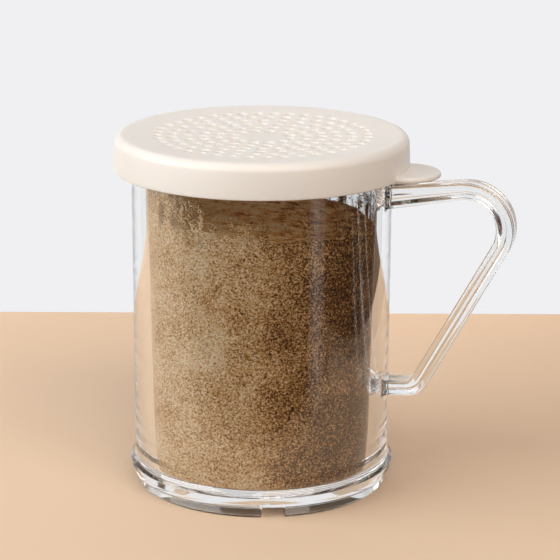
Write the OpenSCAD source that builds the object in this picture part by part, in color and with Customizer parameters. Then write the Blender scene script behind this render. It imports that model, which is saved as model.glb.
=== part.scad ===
// Handled shaker jar for a ground spice: a clear jar with its handle moulded on,
// a snap lid with a perforated top and a thumb tab, and the spice inside.
// Millimetres, Z up. The origin is the centre of the jar's foot, on the table.
// The handle and the lid's thumb tab point along +X.

/* [Jar wall] */
// Height of the jar's rim above the table
jar_h = 98.6; // [86:0.2:112]
// Outside radius of the wall just below the mouth
wall_r = 37; // [33:0.1:42]
// How far the wall's outside leans in from the mouth to the base
wall_lean = 0.15; // [0:0.05:0.5]
// Thickness of the wall at the mouth
wall_t_top = 4.1; // [3:0.1:5]
// Thickness of the wall at the floor
wall_t_base = 5.4; // [4:0.1:6.5]
// Thickness of the floor
floor_t = 3.1; // [2:0.1:6]
// Radius of the round between the floor and the wall inside
floor_round = 0.9; // [0.5:0.1:6]

/* [Jar base] */
// Height of the foot ring under the base bead
foot_h = 4.5; // [3.9:0.1:7]
// Height of the hollow under the floor, inside the foot ring
recess_h = 2.9; // [2:0.1:3.8]
// How far the foot's edge on the table lies inside the bead's upper edge
foot_in = 1.9; // [0.8:0.1:2.8]
// Thickness of the foot ring
foot_t = 4.4; // [3:0.1:7]
// Radius of the round on the foot's outer edge
foot_edge = 0.5; // [0.2:0.1:1]
// How far the base bead stands out from the wall
bead_out = 1.45; // [1:0.05:2]
// How far the bead's band leans in from its upper edge to its lower edge
bead_lean = 0.3; // [0:0.1:0.6]
// Height of the base bead's band
bead_h = 2; // [1.5:0.1:4]
// Height of the hollow sweep from the bead to the wall
sweep_h = 2.7; // [2:0.1:5]
// Width of a drain notch in the foot ring
notch_w = 6.7; // [4:0.1:10]
// Height of a drain notch
notch_h = 3.5; // [2:0.1:3.8]
// Radius of a drain notch's upper corners
notch_round = 0.8; // [0.4:0.1:1.2]
// Number of drain notches
notch_n = 4; // [2:1:8]
// Direction of the first drain notch, in degrees from the handle
notch_turn = 21; // [0:1:90]

/* [Jar mouth] */
// How far the lip that carries the lid stands out from the wall
lip_out = 2.65; // [2:0.05:3.2]
// Height of the lip's straight part
lip_h = 5; // [3:0.1:6]
// Height of the flare between the wall and the lip
lip_flare_h = 2; // [1:0.1:2.4]
// Thickness of the lip
lip_t = 4.25; // [3.5:0.05:5]
// Depth of the mouth's straight part
mouth_h = 5.1; // [3:0.1:7]
// Height of the flare between the bore and the mouth
mouth_flare_h = 2.5; // [1:0.1:4]

/* [Handle] */
// Width of the handle's bar, across the grip
handle_w = 7.2; // [5:0.1:12]
// How far below the rim the upper bar's top leaves the wall
handle_drop = 9.5; // [9:0.1:14]
// Rise of the upper bar's top, in degrees
handle_top_rise = 7; // [0:0.5:7]
// Distance from the wall to the sharp corner of the upper bend
handle_reach = 46.6; // [40:0.2:53]
// Outer radius of the upper bend
handle_bend_r = 13.2; // [11:0.1:16]
// Lean of the slanted bar from the vertical, in degrees
handle_lean = 28.6; // [24:0.2:31]
// Height of the lower bar's underside where it leaves the wall
handle_low_z = 28.3; // [22:0.1:36]
// Rise of the lower bar's underside, in degrees
handle_low_rise = 4; // [0:0.5:8]
// Outer radius of the lower bend
handle_low_bend_r = 6.5; // [5:0.1:9]
// Thickness of the upper bar where it leaves the wall
handle_root_t = 6.2; // [5:0.1:8]
// Angle at which the upper bar's underside closes on its top
handle_top_taper = 4; // [0:0.5:4]
// Thickness of the slanted bar
handle_side_t = 4.9; // [3.5:0.1:6]
// Thickness of the lower bar
handle_low_t = 4.2; // [3:0.1:6]
// Inner radius of the upper bend
handle_bend_in_r = 8.5; // [7:0.1:12]
// Inner radius of the lower bend
handle_low_bend_in_r = 3; // [1:0.1:6]

/* [Lid] */
// Thickness of the skirt at its foot
skirt_t = 2.15; // [1.4:0.05:3]
// How far the lid's side leans in from its foot to its shoulder
lid_side_lean = 0.3; // [0:0.05:0.6]
// Radius of the round shoulder
shoulder_r = 2.4; // [1:0.1:3]
// Thickness of the top at its centre
plate_t = 2.1; // [1.4:0.1:4]
// How far the top's centre lies below its rim
dish_depth = 1.3; // [0.5:0.1:2]
// How far the skirt hangs below the jar's rim
skirt_h = 6.5; // [4:0.1:6.6]
// Gap between the skirt and the jar's lip
lid_gap = 0.2; // [0.1:0.05:0.4]

/* [Shaker holes] */
// Diameter of a hole
hole_d = 2.6; // [1.6:0.1:3]
// Radius of the innermost ring of holes
hole_first_r = 8.27; // [7:0.1:10]
// Distance from one ring of holes to the next
hole_pitch = 4.3; // [3.8:0.1:4.8]
// Number of holes in each ring, from the inside out
hole_counts = [12, 16, 24, 24, 32, 40];

/* [Thumb tab] */
// Radius of the tab's round end
tab_r = 10; // [8:0.1:14]
// How far the tab reaches out from the skirt
tab_reach = 9.5; // [6:0.1:12]
// Thickness of the tab
tab_t = 1.6; // [1.2:0.1:3]

/* [Spice] */
// How far below the rim the spice's top lies
headspace = 19.6; // [8:0.1:70]
// Gap between the spice and the wall
spice_gap = 0.15; // [0.1:0.05:0.4]

/* [Hidden] */
// Segments of a full turn, of an edge round and of a small hole
turn_fn = 144;
round_fn = 48;
hole_fn = 24;
// How far a cutting shape runs past what it cuts
past = 1;
// How far a drain notch runs in past the foot ring's inner wall
notch_in = 0.5;

// Heights on the jar, from the table up
floor_z = recess_h + floor_t;
bead_top_z = foot_h + bead_h;
wall_z = bead_top_z + sweep_h;
neck_z = jar_h - lip_h - lip_flare_h;
lip_z = jar_h - lip_h;
bore_top_z = jar_h - mouth_h - mouth_flare_h;
mouth_z = jar_h - mouth_h;
round_top_z = floor_z + floor_round;
fill_z = jar_h - headspace;

// Radii on the jar
wall_base_r = wall_r - wall_lean;
bead_top_r = wall_base_r + bead_out;
bead_low_r = bead_top_r - bead_lean;
foot_r = bead_top_r - foot_in;
recess_r = foot_r - foot_t;
bore_top_r = wall_r - wall_t_top;
bore_base_r = wall_base_r - wall_t_base;
lip_r = wall_r + lip_out;
mouth_r = lip_r - lip_t;
sweep_r = (sweep_h * sweep_h + bead_out * bead_out) / (2 * bead_out);
sweep_angle = asin(sweep_h / sweep_r);

// Heights and radii on the lid
skirt_in_r = lip_r + lid_gap;
lid_r = skirt_in_r + skirt_t;
skirt_z = jar_h - skirt_h;
crest_z = jar_h + plate_t + dish_depth;
shoulder_z = crest_z - shoulder_r;
crest_r = lid_r - lid_side_lean - shoulder_r;
dish_r = (crest_r * crest_r + dish_depth * dish_depth) / (2 * dish_depth);

// A direction in a flat drawing, at an angle from its first axis
function heading(a) = [cos(a), sin(a)];

// Points of an arc, from one angle to another
function arc(centre, r, from, to, steps = 6) =
    [for (i = [0 : steps]) centre + r * heading(from + (to - from) * i / steps)];

// Where the line through p at angle a meets the line through q at angle b
function meet(p, a, q, b) =
    p + heading(a) * cross(q - p, heading(b)) / cross(heading(a), heading(b));

function unit(v) = v / norm(v);

// Radius of the jar's bore at a height
function bore_r(z) =
    bore_base_r + (bore_top_r - bore_base_r) * (z - floor_z) / (bore_top_z - floor_z);

// Outside radius of the lid's side at a height
function lid_side_r(z) = lid_r - lid_side_lean * (z - skirt_z) / (shoulder_z - skirt_z);

// Outside of the jar, from the foot's edge up to the rim, as [radius, height]
jar_outside = concat(
    arc([foot_r - foot_edge, foot_edge], foot_edge, -90, 0, 4),
    [[bead_low_r, foot_h]],
    arc([wall_base_r + sweep_r, wall_z], sweep_r, 180 + sweep_angle, 180),
    [[wall_r, neck_z], [lip_r, lip_z], [lip_r, jar_h]]
);

// Inside of the jar, from the rim down to the middle of the floor
jar_inside = concat(
    [[mouth_r, jar_h], [mouth_r, mouth_z], [bore_top_r, bore_top_z]],
    arc([bore_r(round_top_z) - floor_round, round_top_z], floor_round, 0, -90),
    [[0, floor_z]]
);

// The jar's outside as a solid, which the handle's ends are cut to
module jar_envelope() {
    rotate_extrude($fn = turn_fn)
        polygon(concat([[0, 0]], jar_outside, [[0, jar_h]]));
}

// One drain notch: an arched slot through the foot ring along +X
module drain_notch() {
    translate([recess_r - notch_in, 0, 0])
        rotate([90, 0, 90])
            linear_extrude(bead_top_r - recess_r + notch_in + past) {
                translate([-notch_w / 2, -past])
                    square([notch_w, past + notch_h - notch_round]);
                translate([-notch_w / 2 + notch_round, -past])
                    square([notch_w - 2 * notch_round, past + notch_h]);
                for (side = [-1, 1])
                    translate([side * (notch_w / 2 - notch_round), notch_h - notch_round])
                        circle(r = notch_round, $fn = round_fn);
            }
}

// Clear cup: foot ring with drain notches, bead, wall, floor, flared mouth and lip
module jar_body() {
    color([0.80, 0.86, 0.88, 0.4])
        difference() {
            rotate_extrude($fn = turn_fn)
                polygon(concat(
                    jar_outside, jar_inside,
                    [[0, recess_h], [recess_r, recess_h], [recess_r, 0]]
                ));
            for (i = [0 : notch_n - 1])
                rotate([0, 0, notch_turn + i * 360 / notch_n])
                    drain_notch();
        }
}

// What a round of radius r takes off the corner between two straight sides
module corner_waste(before, corner, after, r) {
    u = unit(before - corner);
    v = unit(after - corner);
    half = acos(u * v) / 2;
    centre = corner + unit(u + v) * r / sin(half);
    difference() {
        polygon([
            corner - unit(u + v) * past,
            corner + u * r / tan(half),
            centre,
            corner + v * r / tan(half)
        ]);
        translate(centre)
            circle(r = r, $fn = turn_fn);
    }
}

// The handle's side view between two sharp corners of a four-sided outline.
// The outline starts and ends on the same upright line inside the jar's wall.
module handle_face(start, upper, lower, end, upper_r, lower_r) {
    difference() {
        polygon([start, upper, lower, end]);
        corner_waste(start, upper, lower, upper_r);
        corner_waste(upper, lower, end, lower_r);
    }
}

// Clear handle: upper bar, slanted bar and lower bar, drawn in the XZ plane
module jar_handle() {
    root = [wall_r, jar_h - handle_drop];
    foot = [wall_r, handle_low_z];
    side_angle = 90 - handle_lean;
    in_rise = handle_top_rise + handle_top_taper;
    in_root = root - [0, handle_root_t];
    in_foot = foot + [0, handle_low_t / cos(handle_low_rise)];
    upright = [wall_r - wall_t_top / 2, 0];

    upper = meet(root, handle_top_rise, [wall_r + handle_reach, 0], 90);
    lower = meet(upper, side_angle, foot, handle_low_rise);
    in_side = upper + handle_side_t * heading(side_angle + 90);
    in_upper = meet(in_root, in_rise, in_side, side_angle);
    in_lower = meet(in_side, side_angle, in_foot, handle_low_rise);

    color([0.84, 0.89, 0.91, 0.4])
        difference() {
            translate([0, handle_w / 2, 0])
                rotate([90, 0, 0])
                    linear_extrude(handle_w)
                        difference() {
                            handle_face(
                                meet(root, handle_top_rise, upright, 90), upper, lower,
                                meet(foot, handle_low_rise, upright, 90),
                                handle_bend_r, handle_low_bend_r
                            );
                            handle_face(
                                meet(in_root, in_rise, upright, 90), in_upper, in_lower,
                                meet(in_foot, handle_low_rise, upright, 90),
                                handle_bend_in_r, handle_low_bend_in_r
                            );
                        }
            jar_envelope();
        }
}

// Ground spice as one solid that fills the cup up to its level
module ground_spice() {
    round_x = bore_r(round_top_z) - floor_round;
    color([0.50, 0.39, 0.25])
        rotate_extrude($fn = turn_fn)
            polygon(concat(
                [[0, floor_z], [round_x, floor_z]],
                arc([round_x, round_top_z], floor_round - spice_gap, -90, 0),
                [[bore_r(fill_z) - spice_gap, fill_z], [0, fill_z]]
            ));
}

// Rings of round shaker holes through the lid's top
module shaker_holes() {
    for (ring = [0 : len(hole_counts) - 1])
        for (i = [0 : hole_counts[ring] - 1])
            rotate([0, 0, i * 360 / hole_counts[ring]])
                translate([hole_first_r + ring * hole_pitch, 0, jar_h - past])
                    cylinder(h = crest_z - jar_h + 2 * past, d = hole_d, $fn = hole_fn);
}

// Top of the lid: flat underneath, dished above, with a round shoulder
module lid_top() {
    color([0.92, 0.88, 0.79])
        difference() {
            rotate_extrude($fn = turn_fn)
                difference() {
                    polygon(concat(
                        [[0, jar_h], [lid_side_r(jar_h), jar_h]],
                        arc([crest_r, shoulder_z], shoulder_r, 0, 90, 10),
                        [[0, crest_z]]
                    ));
                    translate([0, crest_z - dish_depth + dish_r])
                        circle(r = dish_r, $fn = 1440);
                }
            shaker_holes();
        }
}

// Skirt of the lid, around the jar's lip
module lid_skirt() {
    color([0.90, 0.86, 0.77])
        rotate_extrude($fn = turn_fn)
            polygon([
                [skirt_in_r, skirt_z], [lid_r, skirt_z],
                [lid_side_r(jar_h), jar_h], [skirt_in_r, jar_h]
            ]);
}

// Thumb tab at the foot of the skirt: a round-edged disc cut to the lid's side
module lid_thumb_tab() {
    color([0.88, 0.84, 0.75])
        difference() {
            translate([lid_r + tab_reach - tab_r, 0, skirt_z])
                rotate_extrude($fn = turn_fn) {
                    square([tab_r - tab_t / 2, tab_t]);
                    translate([tab_r - tab_t / 2, tab_t / 2])
                        intersection() {
                            circle(d = tab_t, $fn = round_fn);
                            translate([0, -tab_t / 2])
                                square([tab_t, tab_t]);
                        }
                }
            rotate_extrude($fn = turn_fn)
                polygon([
                    [0, skirt_z - past], [lid_side_r(skirt_z - past), skirt_z - past],
                    [lid_side_r(jar_h), jar_h], [0, jar_h]
                ]);
        }
}

jar_body();
jar_handle();
ground_spice();
lid_top();
lid_skirt();
lid_thumb_tab();
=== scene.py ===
"""Looks for a handled spice shaker: clear jar, ground spice, perforated lid and a plain studio.

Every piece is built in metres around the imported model's nodes, which give its place and size.
"""

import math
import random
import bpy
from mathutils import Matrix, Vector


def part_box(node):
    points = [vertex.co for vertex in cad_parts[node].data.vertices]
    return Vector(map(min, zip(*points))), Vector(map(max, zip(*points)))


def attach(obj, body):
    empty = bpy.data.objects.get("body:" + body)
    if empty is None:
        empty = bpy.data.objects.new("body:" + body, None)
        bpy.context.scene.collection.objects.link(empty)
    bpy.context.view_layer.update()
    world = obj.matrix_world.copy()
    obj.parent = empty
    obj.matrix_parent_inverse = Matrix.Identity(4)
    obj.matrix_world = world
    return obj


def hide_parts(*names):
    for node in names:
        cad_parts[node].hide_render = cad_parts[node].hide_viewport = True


bl_info = {
    "name": "Spice shaker",
    "version": (1, 0, 0),
    "blender": (4, 5, 0),
    "location": "3D View > Sidebar > Shaker",
    "description": "Builds a clear handled spice shaker with its spice, lid and studio",
    "category": "Add Mesh",
}

import bmesh
import bpy
from bpy.props import FloatProperty, FloatVectorProperty, IntProperty, PointerProperty
from mathutils import Matrix, Vector

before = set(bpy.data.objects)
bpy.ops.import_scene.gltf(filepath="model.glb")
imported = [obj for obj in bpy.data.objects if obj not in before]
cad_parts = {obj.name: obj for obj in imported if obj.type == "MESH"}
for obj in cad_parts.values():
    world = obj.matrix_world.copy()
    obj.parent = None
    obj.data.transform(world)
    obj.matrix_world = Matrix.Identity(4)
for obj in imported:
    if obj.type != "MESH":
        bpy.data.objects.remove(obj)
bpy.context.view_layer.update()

MM = 0.001
FULL_TURN = 2 * math.pi
_, JAR_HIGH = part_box("jar_body")
_, SPICE_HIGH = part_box("ground_spice")
_, PLATE_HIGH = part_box("lid_top")
SKIRT_LOW, SKIRT_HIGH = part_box("lid_skirt")
TAB_LOW, TAB_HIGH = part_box("lid_thumb_tab")

# Sides of a turned piece, by its size, so that it looks round
LARGE_ROUND = 192
MEDIUM_ROUND = 128
SMALL_ROUND = 28
# How far a cutter reaches past what it cuts
PAST = 1 * MM
# Places closer together than this are one place
TOUCH = 1e-6
# Turn of the handle away from the camera's side view
HANDLE_TURN = math.radians(15.3)


# Sizes and colours that a user would change


def length(name, description, default):
    """A size in metres, with its place in the panel."""
    return FloatProperty(name=name, description=description, default=default, unit="LENGTH", precision=5)


def colour(name, description, code):
    """A colour, given as an sRGB hex code."""
    return FloatVectorProperty(
        name=name, description=description, default=linear(code), subtype="COLOR", size=4, min=0, max=1
    )


def linear(code):
    """Linear red, green, blue and alpha of an sRGB hex code such as C0FFEE."""
    parts = [int(code[i : i + 2], 16) / 255 for i in (0, 2, 4)]
    return tuple(p / 12.92 if p <= 0.04045 else ((p + 0.055) / 1.055) ** 2.4 for p in parts) + (1.0,)


class JarLook(bpy.types.PropertyGroup):
    """Sizes and colour of the clear jar."""

    wall_r: length("Wall radius", "Outside radius of the wall below the mouth", 37 * MM)
    wall_lean: length("Wall lean", "How far the outside leans in down to the base", 0.15 * MM)
    wall_top: length("Wall at mouth", "Thickness of the wall at the mouth", 4.1 * MM)
    wall_base: length("Wall at floor", "Thickness of the wall at the floor", 5.4 * MM)
    floor_z: length("Floor height", "Height of the floor's inside above the table", 6 * MM)
    floor_round: length("Floor round", "Radius between the floor and the wall inside", 0.9 * MM)
    foot_h: length("Foot height", "Height of the foot ring up to the bead", 4.5 * MM)
    recess_h: length("Recess height", "Height of the hollow under the floor", 2.9 * MM)
    foot_r: length("Foot radius", "Outside radius of the foot on the table", 36.4 * MM)
    foot_t: length("Foot thickness", "Thickness of the foot ring", 4.4 * MM)
    bead_low_r: length("Bead's lower radius", "Outside radius of the bead's lower edge", 38 * MM)
    bead_top_r: length("Bead's upper radius", "Outside radius of the bead's upper edge", 38.3 * MM)
    bead_h: length("Bead height", "Height of the bead's band", 2 * MM)
    sweep_h: length("Sweep height", "Height of the hollow sweep above the bead", 2.7 * MM)
    notch_w: length("Notch width", "Width of a drain notch", 6.7 * MM)
    notch_h: length("Notch height", "Height of a drain notch", 3.5 * MM)
    notch_n: IntProperty(name="Notches", description="Number of drain notches", default=4, min=1)
    notch_turn: FloatProperty(
        name="Notch turn", description="Angle of the first notch from the handle",
        default=math.radians(21), subtype="ANGLE",
    )
    edge: length("Edge round", "Radius of the moulded edges", 0.5 * MM)
    plastic: colour("Plastic", "Tint of the clear plastic", "FAFCFC")


class HandleLook(bpy.types.PropertyGroup):
    """Sizes of the handle's loop, moulded on the jar."""

    width: length("Width", "Width of the bar across the grip", 7.2 * MM)
    drop: length("Drop", "How far below the rim the upper bar's top leaves the wall", 9.5 * MM)
    reach: length("Reach", "Distance from the wall to the sharp corner of the upper bend", 46.6 * MM)
    low_z: length("Lower bar", "Height of the lower bar's underside at the wall", 28.3 * MM)
    root_t: length("Root thickness", "Thickness of the upper bar at the wall", 6.2 * MM)
    side_t: length("Side thickness", "Thickness of the slanted bar", 4.9 * MM)
    low_t: length("Lower thickness", "Thickness of the lower bar", 4.2 * MM)
    bend_r: length("Upper bend", "Outer radius of the upper bend", 13.2 * MM)
    bend_in_r: length("Inner upper bend", "Inner radius of the upper bend", 8.5 * MM)
    low_bend_r: length("Lower bend", "Outer radius of the lower bend", 6.5 * MM)
    low_bend_in_r: length("Inner lower bend", "Inner radius of the lower bend", 3 * MM)
    edge: length("Edge round", "Radius of the bar's long edges", 0.85 * MM)
    groove_w: length("Groove width", "Width of the channel along each side of the bar", 2.4 * MM)
    groove_d: length("Groove depth", "Depth of the channel along each side of the bar", 0.45 * MM)
    root_round: length("Root round", "Radius where the bar runs into the wall", 0.7 * MM)


class LidLook(bpy.types.PropertyGroup):
    """Sizes and colour of the lid."""

    side_lean: length("Side lean", "How far the side leans in up to the shoulder", 0.3 * MM)
    shoulder_r: length("Shoulder", "Radius of the round shoulder", 2.4 * MM)
    dish: length("Dish", "How far the centre lies below the rim of the top", 1.3 * MM)
    foot_round: length("Foot round", "Radius of the skirt's foot", 0.5 * MM)
    hole_d: length("Hole", "Diameter of a shaker hole", 2.6 * MM)
    hole_round: length("Hole edge", "Radius of a hole's upper edge", 0.25 * MM)
    first_r: length("First ring", "Radius of the innermost ring of holes", 8.27 * MM)
    pitch: length("Ring pitch", "Distance from ring to ring", 4.3 * MM)
    tab_r: length("Tab radius", "Radius of the thumb tab's round end", 10 * MM)
    tab_edge: length("Tab edge", "Radius of the thumb tab's edge", 0.7 * MM)
    plastic: colour("Plastic", "Colour of the lid", "E8E5DF")


class SpiceLook(bpy.types.PropertyGroup):
    """Grain and colours of the ground spice."""

    gap: length("Gap", "Air gap between the spice and the wall", 0.12 * MM)
    grain: length("Grain", "Size of a grain", 0.3 * MM)
    heave: length("Heave", "Height of the hummocks on top", 2.4 * MM)
    askew: length("Askew", "How much higher the fill lies on the side it was tipped to", 5 * MM)
    dust_n: IntProperty(name="Dust", description="Grains that cling to the wall above", default=1500, min=0)
    husk: colour("Husk", "Colour of the dark husk grains", "301D10")
    core: colour("Core", "Colour of the pale core grains", "F0D4A4")


class StageLook(bpy.types.PropertyGroup):
    """Colours of the floor and the backdrop."""

    floor: colour("Floor", "Colour of the floor", "E0C6AA")
    backdrop: colour("Backdrop", "Colour of the backdrop", "F0F0F2")


# Modelling by hand, in code


def start_clean():
    """Leaves edit mode and drops the selection."""
    if bpy.context.object and bpy.context.object.mode != "OBJECT":
        bpy.ops.object.mode_set(mode="OBJECT")
    bpy.ops.object.select_all(action="DESELECT")


def only(piece):
    """Selects one piece and makes it active."""
    start_clean()
    piece.select_set(True)
    bpy.context.view_layer.objects.active = piece
    return piece


def name_new(name):
    """Names the new object and puts its place in its mesh."""
    piece = bpy.context.object
    piece.name = name
    piece.data.name = name
    bpy.ops.object.transform_apply(location=True, rotation=True, scale=True)
    return piece


def turned(x, y, z):
    """A place in the camera's own upright frame, as a place in the part's frame."""
    return Matrix.Rotation(HANDLE_TURN, 3, "Z") @ Vector((x, y, z))


def arc(centre, radius, start, end, steps):
    """Points of an arc in a flat drawing, from one angle to another, in degrees."""
    turns = [math.radians(start + (end - start) * i / steps) for i in range(steps + 1)]
    return [centre + radius * Vector((math.cos(t), math.sin(t))) for t in turns]


def lathe(name, outline, steps):
    """A solid of revolution about Z: a disc whose face is extruded and resized from ring to ring."""
    start_clean()
    radius, height = outline[0]
    bpy.ops.mesh.primitive_circle_add(
        vertices=steps, radius=radius, fill_type="NGON", location=(0, 0, height)
    )
    piece = name_new(name)
    bpy.ops.object.mode_set(mode="EDIT")
    bpy.ops.mesh.select_all(action="SELECT")
    for (r0, z0), (r1, z1) in zip(outline, outline[1:]):
        bpy.ops.mesh.extrude_region_move(TRANSFORM_OT_translate={"value": (0, 0, z1 - z0)})
        bpy.ops.transform.resize(value=(r1 / r0, r1 / r0, 1), center_override=(0, 0, z1))
    bpy.ops.mesh.select_all(action="SELECT")
    bpy.ops.mesh.normals_make_consistent(inside=False)
    bpy.ops.object.mode_set(mode="OBJECT")
    return piece


def apply_boolean(piece, tool, operation):
    """Joins tool to piece or cuts it out, and drops tool."""
    only(piece)
    change = piece.modifiers.new(operation.title(), "BOOLEAN")
    change.object = tool
    change.operation = operation
    change.solver = "EXACT"
    bpy.ops.object.modifier_apply(modifier=change.name)
    bpy.data.objects.remove(tool)
    if not piece.data.polygons:
        raise RuntimeError(piece.name + " came out empty")


def select_in_edit(piece, wanted, kind="edges"):
    """In edit mode, selects only the edges, faces or verts that wanted() says."""
    mesh = bmesh.from_edit_mesh(piece.data)
    bpy.ops.mesh.select_all(action="DESELECT")
    for part in getattr(mesh, kind):
        if wanted(part):
            part.select_set(True)
    bmesh.update_edit_mesh(piece.data)


def is_level(edge, axis):
    """Whether both ends of an edge lie at one place along an axis."""
    first, second = (getattr(v.co, axis) for v in edge.verts)
    return abs(first - second) < TOUCH


def repeat_round(count):
    """In edit mode, copies what is selected evenly around Z until there are count of it."""
    bpy.ops.mesh.spin(
        steps=count - 1, dupli=True, angle=FULL_TURN * (count - 1) / count, center=(0, 0, 0), axis=(0, 0, 1)
    )


def join(pieces):
    """Makes one piece of several."""
    start_clean()
    for piece in pieces:
        piece.select_set(True)
    bpy.context.view_layer.objects.active = pieces[0]
    bpy.ops.object.join()
    return bpy.context.object


def smooth(piece, degrees):
    """Smooth shading, with creases past an angle."""
    only(piece)
    bpy.ops.object.shade_smooth_by_angle(angle=math.radians(degrees))


def give(piece, material):
    """The piece takes one material."""
    piece.data.materials.clear()
    piece.data.materials.append(material)


# Materials


def add_node(tree, kind, values=None, links=None, **settings):
    """Adds a node with its settings, its input values and its incoming links."""
    made = tree.nodes.new(kind)
    for key, value in settings.items():
        setattr(made, key, value)
    for key, value in (values or {}).items():
        made.inputs[key].default_value = value
    for key, source in (links or {}).items():
        tree.links.new(source, made.inputs[key])
    return made


def new_material(name):
    """An empty material and its node tree."""
    material = bpy.data.materials.new(name)
    material.use_nodes = True
    material.node_tree.nodes.clear()
    return material, material.node_tree


def end_material(tree, shader):
    """Links the last shader to the output."""
    add_node(tree, "ShaderNodeOutputMaterial", links={"Surface": shader.outputs[0]})


def moulded_polycarbonate(tint):
    """Clear injection-moulded polycarbonate: glass-clear and polished, with a faint moulding ripple."""
    material, tree = new_material("moulded_polycarbonate")
    place = add_node(tree, "ShaderNodeTexCoord")
    ripple = add_node(
        tree, "ShaderNodeTexNoise", {"Scale": 60, "Detail": 1}, {"Vector": place.outputs["Object"]}
    )
    bump = add_node(
        tree, "ShaderNodeBump", {"Strength": 0.02, "Distance": 0.2 * MM}, {"Height": ripple.outputs["Fac"]}
    )
    clear = add_node(
        tree,
        "ShaderNodeBsdfPrincipled",
        {"Base Color": tint, "Roughness": 0.015, "IOR": 1.585, "Transmission Weight": 1.0},
        {"Normal": bump.outputs["Normal"]},
    )
    end_material(tree, clear)
    return material


def moulded_polypropylene(base):
    """Ivory polypropylene from a lightly sanded mould: satin, a little light in its depth."""
    material, tree = new_material("moulded_polypropylene")
    place = add_node(tree, "ShaderNodeTexCoord")
    grain = add_node(
        tree,
        "ShaderNodeTexNoise",
        {"Scale": 1 / (0.5 * MM), "Detail": 3},
        {"Vector": place.outputs["Object"]},
    )
    bump = add_node(
        tree, "ShaderNodeBump", {"Strength": 0.12, "Distance": 0.05 * MM}, {"Height": grain.outputs["Fac"]}
    )
    flow = add_node(
        tree,
        "ShaderNodeTexNoise",
        {"Scale": 1 / (18 * MM), "Detail": 2},
        {"Vector": place.outputs["Object"]},
    )
    rough = add_node(
        tree,
        "ShaderNodeMapRange",
        {"To Min": 0.36, "To Max": 0.48},
        {"Value": flow.outputs["Fac"]},
    )
    body = add_node(
        tree,
        "ShaderNodeBsdfPrincipled",
        {
            "Base Color": base,
            "IOR": 1.49,
            "Subsurface Weight": 0.6,
            "Subsurface Radius": (1.0, 0.85, 0.7),
            "Subsurface Scale": 2.5 * MM,
        },
        {"Roughness": rough.outputs[0], "Normal": bump.outputs["Normal"]},
    )
    end_material(tree, body)
    return material


def mixed(tree, sources, base=0.0):
    """A weighted sum: sources are pairs of an output and its weight, and base is added."""
    total = None
    for source, weight in sources:
        total = add_node(
            tree,
            "ShaderNodeMath",
            {1: weight, 2: base} if total is None else {1: weight},
            {0: source} if total is None else {0: source, 2: total},
            operation="MULTIPLY_ADD",
        ).outputs[0]
    return total


def lit_dusty_side(tree, where):
    """How far a place lies toward the lamp-lit side, where dust settled and where the paler colour is partly
    painted light: 1 there and -1 across.
    """
    toward = turned(-1, 0, 0) / SPICE_HIGH.x
    side = add_node(
        tree, "ShaderNodeVectorMath", {1: tuple(toward)}, {0: where}, operation="DOT_PRODUCT"
    )
    return side.outputs["Value"]


def ramp_of(tree, source, stops):
    """A colour ramp through pairs of a position and a linear colour."""
    ramp = add_node(tree, "ShaderNodeValToRGB", links={"Fac": source})
    made = ramp.color_ramp.elements
    made[0].position, made[0].color = stops[0]
    made[1].position, made[1].color = stops[-1]
    for position, shade in stops[1:-1]:
        stop = made.new(position)
        stop.color = shade
    return ramp.outputs["Color"]


def pepper_tone(tree, where, grain):
    """Dark-to-pale tone of the pepper's grains, clumps and drifts, paler toward the lamp-lit side and darker
    across (partly settled dust, partly painted light and shade), and its grain cells.
    """
    cells = add_node(tree, "ShaderNodeTexVoronoi", {"Scale": 1 / grain}, {"Vector": where})
    pick = add_node(tree, "ShaderNodeSeparateColor", links={"Color": cells.outputs["Color"]})
    clump = add_node(
        tree,
        "ShaderNodeTexNoise",
        {"Scale": 1 / (0.55 * MM), "Detail": 2, "Roughness": 0.6},
        {"Vector": where},
    )
    drift = add_node(
        tree, "ShaderNodeTexNoise", {"Scale": 1 / (11 * MM), "Detail": 3}, {"Vector": where}
    )
    # Paler toward the lamp-lit side and darker across: partly settled pale dust, partly painted light and
    # shade
    dust = add_node(
        tree,
        "ShaderNodeMapRange",
        {"From Min": -0.7, "From Max": 0.55, "To Min": -0.24, "To Max": 0.4},
        {"Value": lit_dusty_side(tree, where)},
        interpolation_type="SMOOTHSTEP",
    )
    tone = mixed(
        tree,
        (
            (pick.outputs["Red"], 0.6),
            (clump.outputs["Fac"], 1.4),
            (drift.outputs["Fac"], 0.75),
            (dust.outputs[0], 0.8),
        ),
        -0.95,
    )
    return tone, cells


def side_colour(tree, tone, husk, core):
    """Colour of the pepper against the wall, from its tone."""
    return ramp_of(
        tree,
        tone,
        (
            (0.0, husk),
            (0.2, linear("56361C")),
            (0.4, linear("AA7842")),
            (0.62, linear("E2B27C")),
            (0.86, core),
            (1.0, linear("FFF0D4")),
        ),
    )


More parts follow.
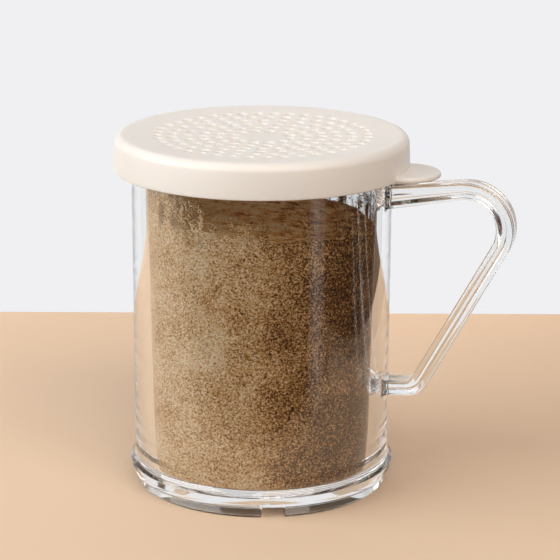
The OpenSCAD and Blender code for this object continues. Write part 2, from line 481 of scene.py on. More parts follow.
def ground_pepper(husk, core, grain):
    """Ground pepper: matt grains of dark husk and pale core, in clumps that show as mottling.

    It is paler on one side and darker across: partly settled pale dust, partly painted light and shade. The
    up-facing top is a paler, warmer copy of the colour, painted light that stands for warm light under the
    lid, mottled by loose clods.
    """
    material, tree = new_material("ground_pepper")
    where = add_node(tree, "ShaderNodeTexCoord").outputs["Object"]
    tone, cells = pepper_tone(tree, where, grain)
    side_shade = side_colour(tree, tone, husk, core)
    clod = add_node(
        tree, "ShaderNodeTexNoise", {"Scale": 1 / (3.5 * MM), "Detail": 3}, {"Vector": where}
    )
    # Painted light: the up-facing top is paler and warmer, standing for warm light bounced under the lid
    top_painted_light = ramp_of(
        tree,
        mixed(tree, ((tone, 0.5), (clod.outputs["Fac"], 2.0)), -0.63),
        (
            (0.1, linear("5C300E")),
            (0.3, linear("BC7230")),
            (0.5, linear("F4B268")),
            (0.8, linear("FFDAA4")),
        ),
    )
    facing = add_node(tree, "ShaderNodeNewGeometry")
    split = add_node(tree, "ShaderNodeSeparateXYZ", links={0: facing.outputs["Normal"]})
    # Where the surface faces up, it takes the painted-light top colour
    top_light_mask = add_node(
        tree, "ShaderNodeMapRange", {"From Min": 0.3, "From Max": 0.7}, {"Value": split.outputs["Z"]}
    )
    shade = add_node(
        tree, "ShaderNodeMix", links={0: top_light_mask.outputs[0], 6: side_shade, 7: top_painted_light}, data_type="RGBA"
    )
    bump = add_node(
        tree,
        "ShaderNodeBump",
        {"Strength": 0.7, "Distance": 0.2 * MM},
        {"Height": cells.outputs["Distance"]},
        invert=True,
    )
    body = add_node(
        tree,
        "ShaderNodeBsdfPrincipled",
        {"Roughness": 0.9, "Specular IOR Level": 0.15},
        {"Base Color": shade.outputs[2], "Normal": bump.outputs["Normal"]},
    )
    end_material(tree, body)
    return material


def dust_film(husk, core, grain):
    """Fine pepper dust on the wall: a dense film low down on the lamp-lit side, scattered specks elsewhere.
    The dense film there is partly real dust and partly painted light that pales the lit side.

    Its patches are drawn out upwards, as dust that slid down the wall leaves them.
    """
    material, tree = new_material("pepper_dust_film")
    where = add_node(tree, "ShaderNodeTexCoord").outputs["Object"]
    tone, _ = pepper_tone(tree, where, grain)
    tint = side_colour(tree, tone, husk, core)
    speck = add_node(
        tree,
        "ShaderNodeTexNoise",
        {"Scale": 1 / (1.6 * grain), "Detail": 2, "Roughness": 0.7},
        {"Vector": where},
    )
    streak = add_node(tree, "ShaderNodeMapping", {"Scale": (1, 1, 0.45)}, {"Vector": where})
    patch = add_node(
        tree, "ShaderNodeTexNoise", {"Scale": 1 / (3.2 * MM), "Detail": 3}, {"Vector": streak.outputs[0]}
    )
    side = lit_dusty_side(tree, where)
    # Denser film on the lamp-lit side: partly real dust, partly painted light
    near = add_node(
        tree, "ShaderNodeMapRange", {"From Min": 0.35, "From Max": 0.85, "To Max": 0.26}, {"Value": side}
    )
    across = add_node(
        tree, "ShaderNodeMapRange", {"From Min": -0.6, "From Max": -0.95, "To Max": 0.1}, {"Value": side}
    )
    height = add_node(tree, "ShaderNodeSeparateXYZ", links={0: where})
    low = add_node(
        tree,
        "ShaderNodeMapRange",
        {"From Min": SPICE_HIGH.z, "From Max": SKIRT_LOW.z + 3 * MM, "To Min": 0.1, "To Max": -0.05},
        {"Value": height.outputs["Z"]},
    )
    cover = mixed(
        tree,
        (
            (speck.outputs["Fac"], 1.0),
            (patch.outputs["Fac"], 1.2),
            (near.outputs[0], 1.0),
            (across.outputs[0], 1.0),
            (low.outputs[0], 1.0),
        ),
        -0.2,
    )
    opaque = add_node(
        tree, "ShaderNodeMapRange", {"From Min": 1.08, "From Max": 1.14}, {"Value": cover}
    )
    body = add_node(
        tree,
        "ShaderNodeBsdfPrincipled",
        {"Roughness": 0.95, "Specular IOR Level": 0.1},
        {"Base Color": tint},
    )
    gap = add_node(tree, "ShaderNodeBsdfTransparent")
    film = add_node(
        tree,
        "ShaderNodeMixShader",
        links={0: opaque.outputs[0], 1: gap.outputs[0], 2: body.outputs[0]},
    )
    end_material(tree, film)
    return material


def floor_paint(shade):
    """Matt paint on the floor."""
    material, tree = new_material("floor_paint")
    paint = add_node(tree, "ShaderNodeBsdfPrincipled", {"Base Color": shade, "Roughness": 0.9})
    end_material(tree, paint)
    return material


def backdrop_paper(shade):
    """Even paper backdrop: as bright as its colour in the picture and in gloss, matt to the lamps.

    It isn't seen from behind, so that it hides nothing from there.
    """
    material, tree = new_material("backdrop_paper")
    paper = add_node(tree, "ShaderNodeBsdfPrincipled", {"Base Color": shade, "Roughness": 0.9})
    even = add_node(tree, "ShaderNodeEmission", {"Color": shade, "Strength": 1.0})
    path = add_node(tree, "ShaderNodeLightPath")
    lit = paper
    for ray in ("Is Camera Ray", "Is Glossy Ray", "Is Transmission Ray"):
        lit = add_node(
            tree, "ShaderNodeMixShader", links={0: path.outputs[ray], 1: lit.outputs[0], 2: even.outputs[0]}
        )
    face = add_node(tree, "ShaderNodeNewGeometry")
    gone = add_node(tree, "ShaderNodeBsdfTransparent")
    shown = add_node(
        tree,
        "ShaderNodeMixShader",
        links={0: face.outputs["Backfacing"], 1: lit.outputs[0], 2: gone.outputs[0]},
    )
    end_material(tree, shown)
    return material


def studio_air(pale):
    """The room: pale in the picture, and for the object bright overhead and dim and warm low down."""
    world = bpy.data.worlds.new("studio_air")
    world.use_nodes = True
    tree = world.node_tree
    place = add_node(tree, "ShaderNodeTexCoord")
    up = add_node(tree, "ShaderNodeSeparateXYZ", links={0: place.outputs["Generated"]})
    fade = add_node(
        tree, "ShaderNodeMapRange", {"From Min": -0.5, "From Max": 1.0}, {"Value": up.outputs["Z"]}
    )
    shade = ramp_of(
        tree,
        fade.outputs[0],
        (
            (0.0, linear("4A3222")),
            (0.33, linear("5C4638")),
            (0.4, linear("78787C")),
            (1.0, linear("888C90")),
        ),
    )
    room = tree.nodes["Background"]
    tree.links.new(shade, room.inputs["Color"])
    plain = add_node(tree, "ShaderNodeBackground", {"Color": pale})
    path = add_node(tree, "ShaderNodeLightPath")
    seen = add_node(
        tree,
        "ShaderNodeMixShader",
        links={0: path.outputs["Is Camera Ray"], 1: room.outputs[0], 2: plain.outputs[0]},
    )
    tree.links.new(seen.outputs[0], tree.nodes["World Output"].inputs["Surface"])
    return world


# The jar and its handle


# Depths below the rim: the lip's outside, the neck, the mouth's land and the bore's upper end
LIP_DEPTH = 5 * MM
NECK_DEPTH = 7 * MM
MOUTH_DEPTH = 5.1 * MM
BORE_DEPTH = 7.6 * MM
# How far inside the lip's outside the mouth lies
MOUTH_IN = 4.25 * MM
# Degrees of the hollow sweep that the bead's upper edge takes up
SWEEP_END = 6
WALL_RINGS = 24
BORE_HEIGHTS = (0.08, 0.06, 0.04, 0.02)
NOTCH_ROUND = 0.8 * MM
# How far the notch cutter reaches inside the foot ring and outside it
NOTCH_IN = 0.5 * MM
NOTCH_OUT = 4 * MM
# Slopes of the handle's bars and how the upper one tapers, in degrees
UPPER_RISE = 7
UPPER_TAPER = 4
SIDE_LEAN = 28.6
LOWER_RISE = 4
# Steps of the handle's bends and roots, and how deep a root is sunk in the wall
UPPER_STEPS = 24
LOWER_STEPS = 12
ROOT_STEPS = 6
ROOT_SUNK = 1.2 * MM
GROOVE_ROUND = 0.38 * MM


def meet(p, a, q, b):
    """Where the line through p at angle a meets the line through q at angle b, in degrees."""
    u = Vector((math.cos(math.radians(a)), math.sin(math.radians(a))))
    v = Vector((math.cos(math.radians(b)), math.sin(math.radians(b))))
    return p + u * ((q - p).cross(v) / u.cross(v))


def rounded(before, corner, after, radius, steps):
    """Points of the arc that rounds a corner between two straight sides."""
    u = (before - corner).normalized()
    v = (after - corner).normalized()
    half = u.angle(v) / 2
    centre = corner + (u + v).normalized() * (radius / math.sin(half))
    first = corner + u * (radius / math.tan(half)) - centre
    last = corner + v * (radius / math.tan(half)) - centre
    sweep = first.angle_signed(last)
    start = math.degrees(math.atan2(first.y, first.x))
    return arc(centre, radius, start, start - math.degrees(sweep), steps)


def jar_outline(look):
    """Half section of the jar, from under its floor round to the floor's top."""
    rim_z = JAR_HIGH.z
    lip_r = JAR_HIGH.x
    base_r = look.wall_r - look.wall_lean
    recess_r = look.foot_r - look.foot_t
    bead_z = look.foot_h + look.bead_h
    sweep_z = bead_z + look.sweep_h
    out = look.bead_top_r - base_r
    sweep_r = (look.sweep_h**2 + out**2) / (2 * out)
    sweep = math.degrees(math.asin(look.sweep_h / sweep_r))
    neck_z = rim_z - NECK_DEPTH
    mouth_r = lip_r - MOUTH_IN
    e = look.edge
    soft = e / 2
    round_z = look.floor_z + look.floor_round
    round_r = bore_radius(look, round_z) - look.floor_round
    return (
        [Vector((recess_r - 2 * e, look.recess_h))]
        + arc(Vector((recess_r - e, look.recess_h - e)), e, 90, 0, 4)
        + arc(Vector((recess_r + soft, soft)), soft, 180, 270, 3)
        + arc(Vector((look.foot_r - e, e)), e, -90, 0, 4)
        + arc(Vector((look.bead_low_r - soft / 2, look.foot_h)), soft / 2, -20, 10, 2)
        + arc(Vector((look.bead_top_r - soft, bead_z - soft)), soft, 0, 60, 3)
        + arc(Vector((base_r + sweep_r, sweep_z)), sweep_r, 180 - SWEEP_END + sweep, 180, 8)
        + [
            Vector((base_r + look.wall_lean * k / WALL_RINGS, sweep_z + (neck_z - sweep_z) * k / WALL_RINGS))
            for k in range(1, WALL_RINGS)
        ]
        + [Vector((look.wall_r, neck_z))]
        + [Vector((lip_r, rim_z - LIP_DEPTH)), Vector((lip_r, rim_z - soft))]
        + arc(Vector((lip_r - soft, rim_z - soft)), soft, 0, 90, 3)
        + arc(Vector((mouth_r + soft, rim_z - soft)), soft, 90, 180, 3)
        + [Vector((mouth_r, rim_z - MOUTH_DEPTH))]
        + [Vector((look.wall_r - look.wall_top, rim_z - BORE_DEPTH))]
        + [Vector((bore_radius(look, z), z)) for z in BORE_HEIGHTS]
        + arc(Vector((round_r, round_z)), look.floor_round, 0, -90, 8)
    )


def bore_radius(look, z):
    """Inside radius of the jar at a height."""
    base = look.wall_r - look.wall_lean - look.wall_base
    top = look.wall_r - look.wall_top
    return base + (top - base) * (z - look.floor_z) / (JAR_HIGH.z - BORE_DEPTH - look.floor_z)


def handle_stations(jar, look):
    """Cross-sections of the bar from the upper root to the lower one.

    Each is its centre, its inner-to-outer direction as an angle, its thickness and its width.
    """
    in_rise = UPPER_RISE + UPPER_TAPER
    side = 90 - SIDE_LEAN
    across = Vector((math.cos(math.radians(side + 90)), math.sin(math.radians(side + 90))))
    root = Vector((jar.wall_r, JAR_HIGH.z - look.drop))
    foot = Vector((jar.wall_r, look.low_z))
    in_root = root - Vector((0, look.root_t))
    in_foot = foot + Vector((0, look.low_t / math.cos(math.radians(LOWER_RISE))))
    upper = meet(root, UPPER_RISE, Vector((jar.wall_r + look.reach, 0)), 90)
    lower = meet(upper, side, foot, LOWER_RISE)
    in_side = upper + look.side_t * across
    in_upper = meet(in_root, in_rise, in_side, side)
    in_lower = meet(in_side, side, in_foot, LOWER_RISE)

    def near_wall(outer, outer_rise, inner, inner_rise, away):
        """The bar's inner and outer point at a distance from the wall."""
        x = Vector((jar.wall_r + away, 0))
        return meet(inner, inner_rise, x, 90), meet(outer, outer_rise, x, 90)

    flare = [root_flare(look, step / ROOT_STEPS) for step in range(ROOT_STEPS + 1)]
    flare.append((-ROOT_SUNK, flare[-1][1]))
    pairs = [near_wall(root, UPPER_RISE, in_root, in_rise, away) for away, _ in reversed(flare)]
    pairs += zip(
        rounded(in_root, in_upper, in_lower, look.bend_in_r, UPPER_STEPS),
        rounded(root, upper, lower, look.bend_r, UPPER_STEPS),
    )
    pairs += zip(
        rounded(in_upper, in_lower, in_foot, look.low_bend_in_r, LOWER_STEPS),
        rounded(upper, lower, foot, look.low_bend_r, LOWER_STEPS),
    )
    pairs += [near_wall(foot, LOWER_RISE, in_foot, LOWER_RISE, away) for away, _ in flare]
    swell = [size for _, size in flare]
    plain = [0] * (len(pairs) - 2 * len(flare))
    stations = []
    for (inner, outer), extra in zip(pairs, swell[::-1] + plain + swell):
        span = outer - inner
        turn = math.atan2(span.y, span.x)
        stations.append(((inner + outer) / 2, turn, span.length + 2 * extra, look.width + 2 * extra))
    return stations


def root_flare(look, t):
    """How far from the wall, and how far the bar has swelled there, for t from 0 to 1."""
    turn = math.radians(90 * t)
    return look.root_round * (1 - math.sin(turn)), look.root_round * (1 - math.cos(turn))


def draw_bar_section(look):
    """The bar's flat section, left in edit mode: a round-edged plate with a channel in each side.

    The cuts in a side lie at 0.2 and 0.6 of its half. The outer ones become the channel's edges,
    which brings the inner ones to a third of that, where they make its floor.
    """
    start_clean()
    bpy.ops.mesh.primitive_plane_add(size=1)
    piece = bpy.context.object
    piece.scale = (look.side_t, look.width, 1)
    name_new("handle_bar")
    half = look.side_t / 2
    bpy.ops.object.mode_set(mode="EDIT")
    bpy.ops.mesh.select_all(action="SELECT")
    bpy.ops.mesh.delete(type="ONLY_FACE")
    bpy.ops.mesh.select_mode(type="EDGE")
    select_in_edit(piece, lambda e: is_level(e, "y"))
    bpy.ops.mesh.subdivide(number_cuts=4)
    bpy.ops.mesh.select_mode(type="VERT")
    select_in_edit(piece, lambda v: abs(v.co.x) < 0.9 * half, "verts")
    bpy.ops.transform.resize(value=(look.groove_w / 2 / (0.6 * half), 1, 1), center_override=(0, 0, 0))
    for side in (1, -1):
        select_in_edit(piece, lambda v: abs(v.co.x) < 0.2 * look.groove_w and v.co.y * side > 0, "verts")
        bpy.ops.transform.translate(value=(0, -side * look.groove_d, 0))
    bpy.ops.mesh.select_all(action="SELECT")
    bpy.ops.mesh.edge_face_add()
    select_in_edit(piece, lambda v: abs(v.co.x) > 0.9 * half, "verts")
    bpy.ops.mesh.bevel(offset=look.edge, segments=6, affect="VERTICES", clamp_overlap=False)
    select_in_edit(piece, lambda v: abs(v.co.x) < 0.51 * look.groove_w, "verts")
    bpy.ops.mesh.bevel(offset=GROOVE_ROUND, segments=5, affect="VERTICES", clamp_overlap=False)
    bpy.ops.mesh.select_all(action="SELECT")
    return piece


def build_handle(jar, look):
    """The handle's bar: its section extruded, turned and resized from station to station."""
    stations = handle_stations(jar, look)
    piece = draw_bar_section(look)
    was = (Vector((0, 0)), 0, look.side_t, look.width)
    for number, station in enumerate(stations):
        step = station[0] - was[0]
        move = (step.x, 0, step.y)
        if number:
            bpy.ops.mesh.extrude_region_move(TRANSFORM_OT_translate={"value": move})
        else:
            bpy.ops.transform.translate(value=move)
        middle = (station[0].x, 0, station[0].y)
        bpy.ops.transform.rotate(value=-was[1], orient_axis="Y", center_override=middle)
        size = (station[2] / was[2], station[3] / was[3], 1)
        bpy.ops.transform.resize(value=size, center_override=middle)
        bpy.ops.transform.rotate(value=station[1], orient_axis="Y", center_override=middle)
        was = station
    bpy.ops.mesh.select_all(action="SELECT")
    bpy.ops.mesh.normals_make_consistent(inside=False)
    bpy.ops.object.mode_set(mode="OBJECT")
    return piece


def cut_notches(piece, look):
    """Cuts the drain notches, with round upper corners, through the foot ring and no further in."""
    start_clean()
    near = look.foot_r - look.foot_t - NOTCH_IN
    far = look.foot_r + NOTCH_OUT
    middle = (near + far) / 2
    bpy.ops.mesh.primitive_cube_add(size=1, location=(middle, 0, look.notch_h / 2 - PAST))
    tool = bpy.context.object
    tool.scale = (far - near, look.notch_w, look.notch_h + 2 * PAST)
    name_new("notch_cutter")
    bpy.ops.object.mode_set(mode="EDIT")
    bpy.ops.mesh.select_mode(type="EDGE")
    select_in_edit(tool, lambda e: is_level(e, "y") and all(v.co.z > 0 for v in e.verts))
    bpy.ops.mesh.bevel(offset=NOTCH_ROUND, segments=5, affect="EDGES")
    bpy.ops.mesh.select_all(action="SELECT")
    bpy.ops.transform.rotate(value=-look.notch_turn, orient_axis="Z", center_override=(0, 0, 0))
    repeat_round(look.notch_n)
    bpy.ops.object.mode_set(mode="OBJECT")
    apply_boolean(piece, tool, "DIFFERENCE")


class SHAKER_OT_jar(bpy.types.Operator):
    """Clear jar and handle as one moulding"""

    bl_idname = "shaker.jar"
    bl_label = "Jar with handle"

    def execute(self, context):
        jar, loop = context.scene.shaker_jar, context.scene.shaker_handle
        piece = lathe("clear_jar", jar_outline(jar), LARGE_ROUND)
        apply_boolean(piece, build_handle(jar, loop), "UNION")
        cut_notches(piece, jar)
        smooth(piece, 32)
        give(piece, moulded_polycarbonate(tuple(jar.plastic)))
        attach(piece, "jar")
        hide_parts("jar_body", "jar_handle")
        return {"FINISHED"}


# The spice


# Direction in which the jar was last tipped, in the camera's own upright frame
TIPPED_TO = (-0.94, -0.34, 0)
# Air under the fill
FLOOR_GAP = 0.02 * MM
# What lies this near the fill's top belongs to it
TOP_BAND = 0.1 * MM
FILL_RINGS = 40
TOP_RINGS = 30
HUMMOCK_SIZE = 14 * MM
CRUMB_SIZE = 2.2 * MM
CRUMB_H = 0.7 * MM
# Level of a cloud pattern that leaves the top where it is
CALM = 0.62
# Clinging grains: sizes in millimetres, shapes, and how much scarcer they get towards the top
DUST_SEED = 7
GRAIN_SIZES = (0.08, 0.26)
GRAIN_LENGTHS = (0.7, 1.5)
GRAIN_FLATNESS = 0.45
THINNING = 1.3
# Lower ends of the grains and of the film, in the fill, and their upper end, behind the skirt
GRAINS_LOW = SPICE_HIGH.z - 1 * MM
FILM_LOW = SPICE_HIGH.z - 3 * MM
DUST_TOP = SKIRT_LOW.z + 1.5 * MM
# The film of dust: how far it stands off the wall, and its thickness
FILM_OFF = 0.06 * MM
FILM_T = 0.03 * MM


def spice_outline(jar, look, top_z):
    """Half section of the fill, from its underside round to its top's middle."""
    round_z = jar.floor_z + jar.floor_round
    round_r = bore_radius(jar, round_z) - jar.floor_round
    heights = [round_z + (top_z - round_z) * k / FILL_RINGS for k in range(1, FILL_RINGS + 1)]
    edge_r = bore_radius(jar, top_z) - look.gap
    return (
        [Vector((round_r, jar.floor_z + FLOOR_GAP))]
        + arc(Vector((round_r, round_z)), jar.floor_round - look.gap, -80, 0, 6)
        + [Vector((bore_radius(jar, z) - look.gap, z)) for z in heights]
        + [Vector((edge_r * k / TOP_RINGS, top_z)) for k in range(TOP_RINGS - 1, 0, -1)]
    )


def tip_top(piece, top_z, edge_r, slope):
    """Raises the fill's top on the side it was tipped to, about its low edge."""
    toward = turned(*TIPPED_TO)
    hinge = tuple(-edge_r * toward)[:2] + (top_z,)
    only(piece)
    bpy.ops.object.mode_set(mode="EDIT")
    bpy.ops.mesh.select_mode(type="VERT")
    select_in_edit(piece, lambda v: v.co.z > top_z - TOP_BAND, "verts")
    bpy.ops.transform.rotate(value=slope * toward.x, orient_axis="Y", center_override=hinge)
    bpy.ops.transform.rotate(value=-slope * toward.y, orient_axis="X", center_override=hinge)
    bpy.ops.object.mode_set(mode="OBJECT")


def heave_top(piece, name, size, height):
    """Raises and sinks the fill's top by a cloud pattern of a size."""
    pattern = bpy.data.textures.new(name, "CLOUDS")
    pattern.noise_scale = size
    pattern.noise_depth = 2
    heave = piece.modifiers.new(name, "DISPLACE")
    heave.texture = pattern
    heave.direction = "Z"
    heave.strength = height
    heave.mid_level = CALM
    heave.vertex_group = "top"
    heave.texture_coords = "LOCAL"
    only(piece)
    bpy.ops.object.modifier_apply(modifier=heave.name)


class SHAKER_OT_spice(bpy.types.Operator):
    """Ground spice that fills the jar, with an uneven top"""

    bl_idname = "shaker.spice"
    bl_label = "Ground spice"

    def execute(self, context):
        jar, look = context.scene.shaker_jar, context.scene.shaker_spice
        top_z = SPICE_HIGH.z - look.askew / 2
        edge_r = bore_radius(jar, top_z) - look.gap
        piece = lathe("ground_spice_fill", spice_outline(jar, look, top_z), LARGE_ROUND)
        group = piece.vertex_groups.new(name="top")
        group.add([v.index for v in piece.data.vertices if v.co.z > top_z - TOP_BAND], 1, "REPLACE")
        tip_top(piece, top_z, edge_r, math.atan(look.askew / (2 * edge_r)))
        heave_top(piece, "hummocks", HUMMOCK_SIZE, look.heave)
        heave_top(piece, "crumbs", CRUMB_SIZE, CRUMB_H)
        smooth(piece, 50)
        give(piece, ground_pepper(tuple(look.husk), tuple(look.core), look.grain))
        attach(piece, "jar")
        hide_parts("ground_spice")
        return {"FINISHED"}


def build_grains(jar, count):
    """Flat grains on the inside of the wall, fewer towards the top."""
    draw = random.Random(DUST_SEED)
    start_clean()
    bpy.ops.mesh.primitive_ico_sphere_add(subdivisions=1, radius=1)
    grain = name_new("spice_dust")
    copies = []
    for _ in range(count):
        z = GRAINS_LOW + (DUST_TOP - GRAINS_LOW) * draw.random() ** THINNING
        turn = draw.uniform(0, FULL_TURN)
        size = draw.uniform(*GRAIN_SIZES) * MM
        r = min(bore_radius(jar, z), jar.wall_r - jar.wall_top) - size * 0.5
        copy = grain.copy()
        copy.data = grain.data.copy()
        copy.data.transform(
            Matrix.Translation((r * math.cos(turn), r * math.sin(turn), z))
            @ Matrix.Rotation(turn, 4, "Z")
            @ Matrix.Diagonal((size * GRAIN_FLATNESS, size * draw.uniform(*GRAIN_LENGTHS), size, 1))
        )
        bpy.context.collection.objects.link(copy)
        copies.append(copy)
    bpy.data.objects.remove(grain)
    piece = join(copies)
    piece.name = "spice_dust"
    return piece


def build_film(jar):
    """A thin sleeve just inside the wall, which carries the finest dust."""
    start_clean()
    bpy.ops.mesh.primitive_cone_add(
        vertices=MEDIUM_ROUND,
        radius1=bore_radius(jar, FILM_LOW) - FILM_OFF,
        radius2=bore_radius(jar, DUST_TOP) - FILM_OFF,
        depth=DUST_TOP - FILM_LOW,
        end_fill_type="NOTHING",
        location=(0, 0, (FILM_LOW + DUST_TOP) / 2),
    )
    film = name_new("spice_film")
    shell = film.modifiers.new("shell", "SOLIDIFY")
    shell.thickness = FILM_T
    shell.offset = -1
    bpy.ops.object.modifier_apply(modifier=shell.name)
    smooth(film, 40)
    return film


class SHAKER_OT_dust(bpy.types.Operator):
    """Grains and a film of spice that cling to the inside of the wall above the fill"""

    bl_idname = "shaker.dust"
    bl_label = "Clinging dust"

    def execute(self, context):
        jar, look = context.scene.shaker_jar, context.scene.shaker_spice
        piece = build_grains(jar, look.dust_n)
        give(piece, bpy.data.materials["ground_pepper"])
        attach(piece, "jar")

        film = build_film(jar)
        give(film, dust_film(tuple(look.husk), tuple(look.core), look.grain))
        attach(film, "jar")
        return {"FINISHED"}


# The lid


# Play between the skirt and the jar's lip
SKIRT_PLAY = 0.2 * MM
# Radii of the rings that shape the dished top, in millimetres
DISH_RINGS = (38, 36, 33, 28, 23, 18, 13, 8, 5)
# Number of holes in each ring, from the innermost one outwards
HOLE_COUNTS = (12, 16, 24, 24, 32, 40)
# How deep the thumb tab is sunk in the skirt
TAB_SUNK = 1 * MM
# How far inside the crest the section starts, under the top
START_IN = 6 * MM


def dish_z(look, r):
    """Height of the lid's dished top at a distance from its centre."""
    crest_r = PLATE_HIGH.x - look.shoulder_r
    dish_r = (crest_r**2 + look.dish**2) / (2 * look.dish)
    return PLATE_HIGH.z - look.dish + dish_r - math.sqrt(dish_r**2 - r**2)


def lid_outline(look):
    """Half section of the lid, from under its top round to the top's middle."""
    skirt_in = JAR_HIGH.x + SKIRT_PLAY
    low_z = SKIRT_LOW.z
    plate_z = JAR_HIGH.z
    lid_r = SKIRT_HIGH.x
    top_r = lid_r - look.side_lean
    e = look.foot_round
    crest_r = top_r - look.shoulder_r
    return (
        [Vector((crest_r - START_IN, plate_z)), Vector((skirt_in - e, plate_z))]
        + arc(Vector((skirt_in - e, plate_z - e)), e, 90, 0, 4)
        + arc(Vector((skirt_in + e, low_z + e)), e, 180, 270, 4)
        + arc(Vector((lid_r - e, low_z + e)), e, -90, 0, 4)
        + arc(Vector((crest_r, PLATE_HIGH.z - look.shoulder_r)), look.shoulder_r, 0, 87, 12)
        + [Vector((r * MM, dish_z(look, r * MM))) for r in DISH_RINGS]
    )


def hole_cutter(look):
    """Cutters of every shaker hole, one ring after another, each flared at the top's surface."""
    rings = []
    r = look.hole_d / 2
    e = look.hole_round
    for ring, count in enumerate(HOLE_COUNTS):
        away = look.first_r + ring * look.pitch
        top = dish_z(look, away)
        flare = arc(Vector((r + e, top - e)), e, 180, 90, 4)
        outline = [Vector((r, JAR_HIGH.z - PAST))] + flare + [Vector((r + e, top + PAST))]
        tool = lathe("hole_cutter", outline, SMALL_ROUND)
        tool.data.transform(Matrix.Translation((away, 0, 0)))
        only(tool)
        bpy.ops.object.mode_set(mode="EDIT")
        bpy.ops.mesh.select_all(action="SELECT")
        repeat_round(count)
        bpy.ops.object.mode_set(mode="OBJECT")
        rings.append(tool)
    return join(rings)


def build_tab(look):
    """The thumb tab: a round-edged disc, cut away inside the skirt."""
    start_clean()
    thick = TAB_HIGH.z - TAB_LOW.z
    middle = TAB_HIGH.x - look.tab_r
    bpy.ops.mesh.primitive_cylinder_add(
        vertices=MEDIUM_ROUND, radius=look.tab_r, depth=thick, location=(middle, 0, TAB_LOW.z + thick / 2)
    )
    piece = name_new("tab_disc")
    bpy.ops.object.mode_set(mode="EDIT")
    bpy.ops.mesh.select_mode(type="EDGE")
    select_in_edit(piece, lambda e: is_level(e, "z"))
    bpy.ops.mesh.bevel(offset=look.tab_edge, segments=4, affect="EDGES")
    bpy.ops.object.mode_set(mode="OBJECT")
    start_clean()
    bpy.ops.mesh.primitive_cylinder_add(
        vertices=LARGE_ROUND, radius=SKIRT_HIGH.x - TAB_SUNK, depth=20 * MM, location=(0, 0, TAB_LOW.z)
    )
    apply_boolean(piece, name_new("tab_trim"), "DIFFERENCE")
    return piece


class SHAKER_OT_lid(bpy.types.Operator):
    """Perforated lid with its skirt and thumb tab as one moulding"""

    bl_idname = "shaker.lid"
    bl_label = "Lid"

    def execute(self, context):
        look = context.scene.shaker_lid
        piece = lathe("shaker_lid", lid_outline(look), LARGE_ROUND)
        apply_boolean(piece, hole_cutter(look), "DIFFERENCE")
        apply_boolean(piece, build_tab(look), "UNION")
        smooth(piece, 30)
        give(piece, moulded_polypropylene(tuple(look.plastic)))
        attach(piece, "lid")
        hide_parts("lid_top", "lid_skirt", "lid_thumb_tab")
        return {"FINISHED"}


# The studio


# Light turns many times in the clear floor and the handle before it comes out again
LIGHT_TURNS = 40
# The camera in its own upright frame: its place, and its tilt and roll in degrees
CAMERA_PLACE = (5.26 * MM, -0.6, 227.4 * MM)
CAMERA_TILT = 15.7
CAMERA_ROLL = 0.25
CAMERA_LENS = 139.2


def add_lamp(name, place, target, size, watts, shade="FFFFFF"):
    """A soft oblong lamp that faces a target."""
    data = bpy.data.lights.new(name, "AREA")
    data.shape = "RECTANGLE"
    data.size, data.size_y = size
    data.energy = watts
    data.color = linear(shade)[:3]
    lamp = bpy.data.objects.new(name, data)
    bpy.context.collection.objects.link(lamp)
    lamp.location = turned(*place)
    lamp.rotation_euler = (turned(*target) - lamp.location).to_track_quat("-Z", "Y").to_euler()
    return lamp


def add_sheet(name, size, place, tilt):
    """A plain flat sheet of the stage."""
    start_clean()
    bpy.ops.mesh.primitive_plane_add(size=1)
    sheet = bpy.context.object
    sheet.name = name
    sheet.scale = (size[0], size[1], 1)
    sheet.rotation_euler = (tilt, 0, HANDLE_TURN)
    sheet.location = turned(*place)
    return sheet


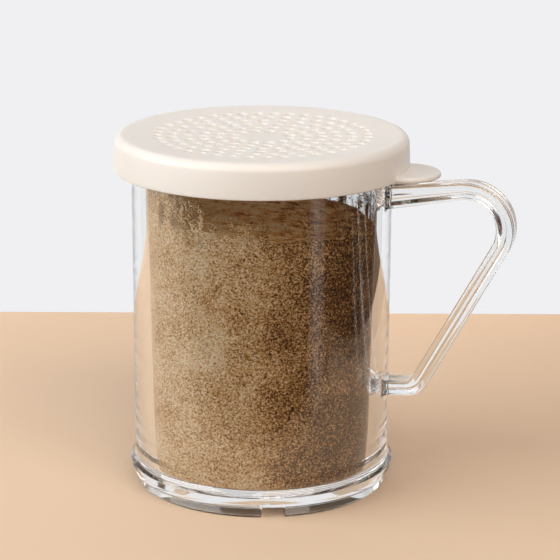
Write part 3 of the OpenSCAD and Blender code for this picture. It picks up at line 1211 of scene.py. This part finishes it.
class SHAKER_OT_stage(bpy.types.Operator):
    """Pale floor and backdrop, soft lamps and the camera"""

    bl_idname = "shaker.stage"
    bl_label = "Studio"

    def execute(self, context):
        scene = context.scene
        look = scene.shaker_stage
        floor = add_sheet("floor", (0.7, 0.5), (-0.19, 0.16, -0.05 * MM), 0)
        give(floor, floor_paint(tuple(look.floor)))
        wall = add_sheet("backdrop", (0.44, 0.3), (0, 0.164, 0.15), math.pi / 2)
        give(wall, backdrop_paper(tuple(look.backdrop)))

        add_lamp("key", (-0.8, -0.3, 0.42), (0, 0, 0.05), (1.0, 0.7), 8.7)
        add_lamp("fill", (0.3, -0.68, 0.62), (0, 0, 0.08), (0.8, 0.8), 6.6, "FFEFE2")
        add_lamp("strip", (0.19, -0.17, 0), (0, 0, 0.04), (0.045, 0.16), 0.014, "FFF6F0")
        scene.world = studio_air(tuple(look.backdrop))

        data = bpy.data.cameras.new("camera")
        data.sensor_width = 36
        data.lens = CAMERA_LENS
        data.clip_start = 0.01
        camera = bpy.data.objects.new("camera", data)
        scene.collection.objects.link(camera)
        camera.location = turned(*CAMERA_PLACE)
        tilt = Matrix.Rotation(math.radians(90 - CAMERA_TILT), 3, "X")
        roll = Matrix.Rotation(math.radians(CAMERA_ROLL), 3, "Z")
        camera.rotation_euler = (Matrix.Rotation(HANDLE_TURN, 3, "Z") @ tilt @ roll).to_euler()
        scene.camera = camera
        scene.view_settings.view_transform = "Standard"
        scene.cycles.max_bounces = LIGHT_TURNS
        scene.cycles.transmission_bounces = LIGHT_TURNS
        scene.cycles.glossy_bounces = LIGHT_TURNS
        return {"FINISHED"}


class SHAKER_PT_panel(bpy.types.Panel):
    """Lists the shaker's pieces"""

    bl_label = "Spice shaker"
    bl_idname = "SHAKER_PT_panel"
    bl_space_type = "VIEW_3D"
    bl_region_type = "UI"
    bl_category = "Shaker"

    def draw(self, context):
        for name, look in LOOKS.items():
            box = self.layout.box()
            for key in look.__annotations__:
                box.prop(getattr(context.scene, name), key)
        for step in STEPS:
            self.layout.operator("shaker." + step)


LOOKS = {
    "shaker_jar": JarLook,
    "shaker_handle": HandleLook,
    "shaker_lid": LidLook,
    "shaker_spice": SpiceLook,
    "shaker_stage": StageLook,
}
STEPS = ("stage", "jar", "spice", "dust", "lid")
CLASSES = tuple(LOOKS.values()) + (
    SHAKER_OT_stage,
    SHAKER_OT_jar,
    SHAKER_OT_spice,
    SHAKER_OT_dust,
    SHAKER_OT_lid,
    SHAKER_PT_panel,
)


def register():
    """Registers the classes and puts the looks on the scene."""
    for kind in CLASSES:
        bpy.utils.register_class(kind)
    for name, group in LOOKS.items():
        setattr(bpy.types.Scene, name, PointerProperty(type=group))


def unregister():
    """Takes the looks and the classes away again."""
    for name in LOOKS:
        delattr(bpy.types.Scene, name)
    for kind in reversed(CLASSES):
        bpy.utils.unregister_class(kind)


def main():
    """Builds the studio and every piece."""
    register()
    for step in STEPS:
        getattr(bpy.ops.shaker, step)()


if __name__ == "__main__":
    main()
